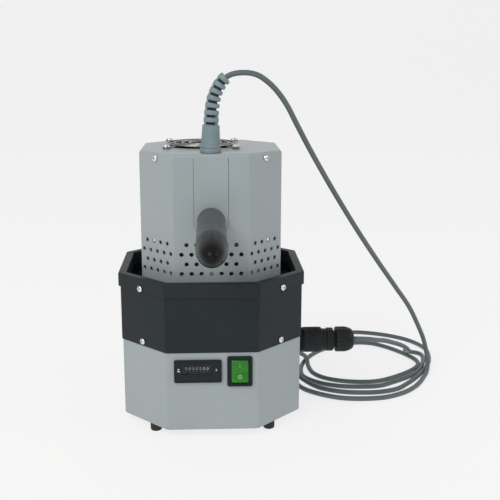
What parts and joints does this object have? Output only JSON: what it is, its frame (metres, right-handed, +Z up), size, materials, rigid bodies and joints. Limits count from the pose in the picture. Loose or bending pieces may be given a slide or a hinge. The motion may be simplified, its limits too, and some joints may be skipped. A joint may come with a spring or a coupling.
{
  "type": "dry block heater",
  "caption": "Octagonal dry block heater with a lift-off fan hood, side handle, tube insert, hour counter, rocker switch and a looped cable between hood and base.",
  "frame": {"origin": "centre of the footprint on the table, under the middle of the body and handle together", "axes": "+Z up, front panel and handle face -Y, cable socket on +X"},
  "size_m": [0.3798, 0.455, 0.3684],
  "materials": {
    "grey_paint": "satin light grey textured paint",
    "hood_paint": "satin light grey textured paint",
    "black_collar": "satin black paint",
    "black_rim": "satin black moulded plastic",
    "base_plate_zinc": "zinc-plated sheet",
    "foot_rubber": "black rubber",
    "screw_steel": "bright plated",
    "deck_steel": "black paint",
    "tray_insulation": "dark insulating moulding",
    "heater_mica": "mica heater",
    "block_aluminium": "milled",
    "insert_aluminium": "milled",
    "probe_steel": "steel tube",
    "supply_case": "sheet case",
    "board_green": "solder-masked board",
    "counter_black": "black plastic",
    "drum_black": "black number wheels",
    "window_clear": "clear window",
    "switch_black": "black plastic",
    "rocker_green": "translucent green, lit",
    "socket_black": "black plastic",
    "plug_black": "black plastic",
    "inlet_black": "black plastic",
    "drawer_black": "black plastic",
    "grip_black": "black moulded plastic",
    "fan_black": "black plastic",
    "guard_chrome": "bright plated wire",
    "gland_grey": "blue-grey moulded plastic",
    "cord_grey": "grey cable sheath"
  },
  "bodies": {
    "root": {"base_case": "grey_paint", "collar_wall": "black_collar", "collar_rim": "black_rim", "base_plate": "base_plate_zinc", "foot_1": "foot_rubber", "foot_2": "foot_rubber", "foot_3": "foot_rubber", "foot_4": "foot_rubber", "collar_screw_1": "screw_steel", "collar_screw_2": "screw_steel", "collar_screw_3": "screw_steel", "collar_screw_4": "screw_steel", "collar_screw_5": "screw_steel", "collar_screw_6": "screw_steel", "collar_screw_7": "screw_steel", "collar_screw_8": "screw_steel", "deck_pan": "deck_steel", "insulation_tray": "tray_insulation", "heater_plate": "heater_mica", "heating_block": "block_aluminium", "temperature_probe": "probe_steel", "power_supply": "supply_case", "control_board": "board_green", "counter_body": "counter_black", "counter_window": "window_clear", "switch_body": "switch_black", "outlet_socket": "socket_black", "plug_body": "plug_black", "plug_nut": "plug_black", "mains_inlet": "inlet_black", "cord_lead": "cord_grey", "cord_coil": "cord_grey"},
    "hood": {"hood_shell": "hood_paint", "handle_mount": "hood_paint", "handle_grip": "grip_black", "fan_frame": "fan_black", "fan_guard": "guard_chrome", "fan_screw_1": "screw_steel", "fan_screw_2": "screw_steel", "fan_screw_3": "screw_steel", "fan_screw_4": "screw_steel", "cable_gland": "gland_grey", "bend_protector": "gland_grey", "hood_screw_1": "screw_steel", "hood_screw_2": "screw_steel", "hood_screw_3": "screw_steel", "hood_screw_4": "screw_steel", "cord_arc": "cord_grey"},
    "fan": {"fan_rotor": "fan_black"},
    "rocker": {"switch_rocker": "rocker_green"},
    "ring": {"plug_ring": "plug_black"},
    "insert": {"block_insert": "insert_aluminium"},
    "drawer": {"fuse_drawer": "drawer_black"},
    "drum_1": {"counter_drum_1": "drum_black"},
    "drum_2": {"counter_drum_2": "drum_black"},
    "drum_3": {"counter_drum_3": "drum_black"},
    "drum_4": {"counter_drum_4": "drum_black"},
    "drum_5": {"counter_drum_5": "drum_black"},
    "drum_6": {"counter_drum_6": "drum_black"},
    "drum_7": {"counter_drum_7": "drum_black"}
  },
  "joints": [
    {"name": "hood_lift", "type": "slide", "parent": "root", "child": "hood", "axis": [0, 0, 1], "range_m": [0, 0.15], "deforming": ["cord_arc"]},
    {"name": "fan_spin", "type": "hinge", "parent": "hood", "child": "fan", "pos_m": [-0.0141, 0.07875, 0.27], "axis": [0, 0, 1], "continuous": true},
    {"name": "switch_rock", "type": "hinge", "parent": "root", "child": "rocker", "pos_m": [0.0231, -0.02475, 0.0711], "axis": [1, 0, 0], "range_deg": [0, 16]},
    {"name": "plug_ring_turn", "type": "hinge", "parent": "root", "child": "ring", "pos_m": [0.1054, 0.06275, 0.0727], "axis": [1, 0, 0], "range_deg": [0, 60]},
    {"name": "insert_lift", "type": "slide", "parent": "root", "child": "insert", "axis": [0, 0, 1], "range_m": [0, 0.055]},
    {"name": "fuse_drawer_slide", "type": "slide", "parent": "root", "child": "drawer", "axis": [0, 1, 0], "range_m": [0, 0.014]},
    {"name": "drum_1_turn", "type": "hinge", "parent": "root", "child": "drum_1", "pos_m": [-0.0093, -0.02025, 0.074], "axis": [1, 0, 0], "continuous": true},
    {"name": "drum_2_turn", "type": "hinge", "parent": "root", "child": "drum_2", "pos_m": [-0.0129, -0.02025, 0.074], "axis": [1, 0, 0], "continuous": true},
    {"name": "drum_3_turn", "type": "hinge", "parent": "root", "child": "drum_3", "pos_m": [-0.0165, -0.02025, 0.074], "axis": [1, 0, 0], "continuous": true},
    {"name": "drum_4_turn", "type": "hinge", "parent": "root", "child": "drum_4", "pos_m": [-0.0201, -0.02025, 0.074], "axis": [1, 0, 0], "continuous": true},
    {"name": "drum_5_turn", "type": "hinge", "parent": "root", "child": "drum_5", "pos_m": [-0.0237, -0.02025, 0.074], "axis": [1, 0, 0], "continuous": true},
    {"name": "drum_6_turn", "type": "hinge", "parent": "root", "child": "drum_6", "pos_m": [-0.0273, -0.02025, 0.074], "axis": [1, 0, 0], "continuous": true},
    {"name": "drum_7_turn", "type": "hinge", "parent": "root", "child": "drum_7", "pos_m": [-0.0309, -0.02025, 0.074], "axis": [1, 0, 0], "continuous": true}
  ],
  "couplings": [
    {"joint": "drum_2_turn", "follows": "drum_1_turn", "ratio": 0.1},
    {"joint": "drum_3_turn", "follows": "drum_1_turn", "ratio": 0.01},
    {"joint": "drum_4_turn", "follows": "drum_1_turn", "ratio": 0.001},
    {"joint": "drum_5_turn", "follows": "drum_1_turn", "ratio": 0.0001},
    {"joint": "drum_6_turn", "follows": "drum_1_turn", "ratio": 0.00001},
    {"joint": "drum_7_turn", "follows": "drum_1_turn", "ratio": 0.000001}
  ]
}
